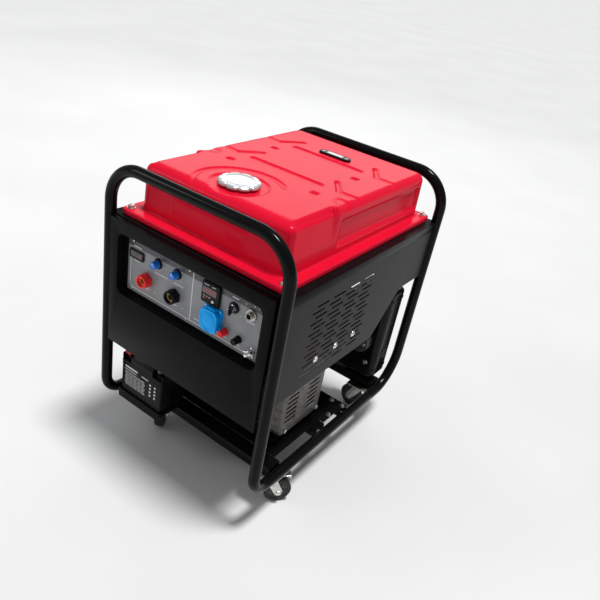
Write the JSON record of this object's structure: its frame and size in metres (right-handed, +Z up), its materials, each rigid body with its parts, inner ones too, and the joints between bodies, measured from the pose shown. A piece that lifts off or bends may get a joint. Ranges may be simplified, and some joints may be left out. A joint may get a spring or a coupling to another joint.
{
  "type": "engine driven welder",
  "caption": "Petrol engine driven welding generator in a black tube frame with red fuel tank, grey control panel, battery and swivel casters.",
  "frame": {"origin": "on the ground under the middle of the tube frame", "axes": "+X left to right across the control panel, +Y from the panel to the rear, +Z up"},
  "size_m": [0.5483, 0.714, 0.7795],
  "materials": {
    "frame_black": "gloss black powder coat",
    "cover_black": "satin black powder coat",
    "tank_red": "gloss red enamel",
    "panel_grey": "satin grey paint with printed lines",
    "zinc": "zinc plated",
    "steel": "machined",
    "wheel_black": "hard rubber tread",
    "knob_blue": "moulded blue",
    "socket_blue": "moulded blue",
    "plastic_black": "moulded black",
    "plastic_white": "moulded white",
    "plastic_red": "moulded red",
    "brass": "turned",
    "chrome": "bright",
    "cap_silver": "bright pressed cap",
    "cast_aluminium": "as cast",
    "machined_aluminium": "machined",
    "cast_iron": "as cast",
    "lamination": "varnished",
    "exhaust_black": "heat resistant black",
    "lead_red": "cable sheath"
  },
  "bodies": {
    "frame": {"front_hoop": "frame_black", "rear_hoop": "frame_black", "base_frame": "frame_black", "tank_rails": "cover_black", "caster_plates": "zinc", "front_cover": "cover_black", "control_panel": "panel_grey", "control_box": "cover_black", "weld_sockets": "brass", "panel_meters": "plastic_black", "mains_socket": "socket_blue", "panel_connectors": "chrome", "fasteners": "zinc", "left_side_panel": "cover_black", "right_side_panel": "cover_black", "fuel_tank_upper": "tank_red", "fuel_tank_lower": "tank_red", "filler_neck": "steel", "fuel_gauge": "plastic_black", "battery_case": "plastic_black", "battery_tray": "cover_black", "battery_leads": "lead_red", "crankcase": "cast_aluminium", "cylinder": "cast_aluminium", "cylinder_head": "cast_aluminium", "rocker_cover": "cast_aluminium", "shaft_bearings": "steel", "blower_housing": "exhaust_black", "recoil_cover": "exhaust_black", "starter_motor": "exhaust_black", "carburettor": "cast_aluminium", "air_filter_box": "plastic_black", "silencer": "exhaust_black", "stator_core": "lamination", "alternator_end_cover": "cast_aluminium", "engine_tray": "cover_black"},
    "fuel_cap": {"fuel_cap": "cap_silver"},
    "current_knob": {"current_knob": "knob_blue"},
    "arc_force_knob": {"arc_force_knob": "knob_blue"},
    "meter_button": {"meter_button": "plastic_white"},
    "mains_socket_lid": {"mains_socket_lid": "socket_blue"},
    "ignition_key": {"ignition_key": "steel"},
    "binding_cap_positive": {"binding_cap_positive": "plastic_red"},
    "binding_cap_negative": {"binding_cap_negative": "plastic_black"},
    "ground_wing_nut": {"ground_wing_nut": "chrome"},
    "crank_train": {"crankshaft": "steel", "flywheel": "cast_iron", "rotor": "lamination"},
    "piston": {"piston": "machined_aluminium"},
    "recoil_handle": {"recoil_handle": "plastic_black"},
    "oil_dipstick": {"oil_dipstick": "plastic_black"},
    "choke_lever": {"choke_lever": "zinc"},
    "caster_fork_fl": {"caster_fork_fl": "zinc"},
    "caster_wheel_fl": {"caster_wheel_fl": "wheel_black"},
    "caster_fork_fr": {"caster_fork_fr": "zinc"},
    "caster_wheel_fr": {"caster_wheel_fr": "wheel_black"},
    "caster_fork_rl": {"caster_fork_rl": "zinc"},
    "caster_wheel_rl": {"caster_wheel_rl": "wheel_black"},
    "caster_fork_rr": {"caster_fork_rr": "zinc"},
    "caster_wheel_rr": {"caster_wheel_rr": "wheel_black"}
  },
  "joints": [
    {"name": "caster_swivel_fl", "type": "hinge", "parent": "frame", "child": "caster_fork_fl", "pos_m": [-0.14, -0.255, 0.09], "axis": [0, 0, 1], "continuous": true},
    {"name": "caster_roll_fl", "type": "hinge", "parent": "caster_fork_fl", "child": "caster_wheel_fl", "pos_m": [-0.15484, -0.23125, 0.036], "axis": [0.848, 0.5299, 0], "continuous": true},
    {"name": "caster_swivel_fr", "type": "hinge", "parent": "frame", "child": "caster_fork_fr", "pos_m": [0.23, -0.236, 0.09], "axis": [0, 0, 1], "continuous": true},
    {"name": "caster_roll_fr", "type": "hinge", "parent": "caster_fork_fr", "child": "caster_wheel_fr", "pos_m": [0.248, -0.21455, 0.036], "axis": [0.766, -0.6428, 0], "continuous": true},
    {"name": "caster_swivel_rl", "type": "hinge", "parent": "frame", "child": "caster_fork_rl", "pos_m": [-0.205, 0.264, 0.09], "axis": [0, 0, 1], "continuous": true},
    {"name": "caster_roll_rl", "type": "hinge", "parent": "caster_fork_rl", "child": "caster_wheel_rl", "pos_m": [-0.17869, 0.27358, 0.036], "axis": [0.342, -0.9397, 0], "continuous": true},
    {"name": "caster_swivel_rr", "type": "hinge", "parent": "frame", "child": "caster_fork_rr", "pos_m": [0.205, 0.264, 0.09], "axis": [0, 0, 1], "continuous": true},
    {"name": "caster_roll_rr", "type": "hinge", "parent": "caster_fork_rr", "child": "caster_wheel_rr", "pos_m": [0.17742, 0.26886, 0.036], "axis": [0.1736, 0.9848, 0], "continuous": true},
    {"name": "fuel_cap_lift", "type": "slide", "parent": "frame", "child": "fuel_cap", "axis": [0, 0, 1], "range_m": [0, 0.06]},
    {"name": "current_turn", "type": "hinge", "parent": "frame", "child": "current_knob", "pos_m": [-0.102, -0.34, 0.568], "axis": [0, 1, 0], "range_deg": [-135, 135]},
    {"name": "arc_force_turn", "type": "hinge", "parent": "frame", "child": "arc_force_knob", "pos_m": [-0.042, -0.34, 0.568], "axis": [0, 1, 0], "range_deg": [-135, 135]},
    {"name": "meter_button_press", "type": "slide", "parent": "frame", "child": "meter_button", "axis": [0, 1, 0], "range_m": [0, 0.0015], "stiffness_N_per_m": 400, "springref_m": -0.0005},
    {"name": "mains_lid_swing", "type": "hinge", "parent": "frame", "child": "mains_socket_lid", "pos_m": [0.073, -0.3465, 0.539], "axis": [-1, 0, 0], "range_deg": [0, 110], "stiffness_Nm_per_rad": 0.01, "springref_deg": -17.19},
    {"name": "ignition_turn", "type": "hinge", "parent": "frame", "child": "ignition_key", "pos_m": [0.126, -0.34, 0.563], "axis": [0, 1, 0], "range_deg": [0, 90]},
    {"name": "binding_cap_positive_turn", "type": "hinge", "parent": "frame", "child": "binding_cap_positive", "pos_m": [0.11, -0.345, 0.494], "axis": [0, 1, 0], "range_deg": [0, 360]},
    {"name": "binding_cap_negative_turn", "type": "hinge", "parent": "frame", "child": "binding_cap_negative", "pos_m": [0.148, -0.345, 0.494], "axis": [0, 1, 0], "range_deg": [0, 360]},
    {"name": "wing_nut_turn", "type": "hinge", "parent": "frame", "child": "ground_wing_nut", "pos_m": [0.186, -0.342, 0.482], "axis": [0, 1, 0], "range_deg": [0, 360]},
    {"name": "crank_spin", "type": "hinge", "parent": "frame", "child": "crank_train", "pos_m": [0, -0.105, 0.258], "axis": [1, 0, 0], "continuous": true},
    {"name": "piston_slide", "type": "slide", "parent": "frame", "child": "piston", "axis": [0, 0.9063, 0.4226], "range_m": [-0.0315, 0.0315]},
    {"name": "recoil_pull", "type": "slide", "parent": "frame", "child": "recoil_handle", "axis": [-1, 0, 0], "range_m": [0, 0.5], "stiffness_N_per_m": 40, "springref_m": -0.05},
    {"name": "dipstick_pull", "type": "slide", "parent": "frame", "child": "oil_dipstick", "axis": [0, -1, 0], "range_m": [0, 0.08]},
    {"name": "choke_turn", "type": "hinge", "parent": "frame", "child": "choke_lever", "pos_m": [-0.172, 0.04829, 0.35187], "axis": [0, 1, 0], "range_deg": [0, 45]}
  ]
}
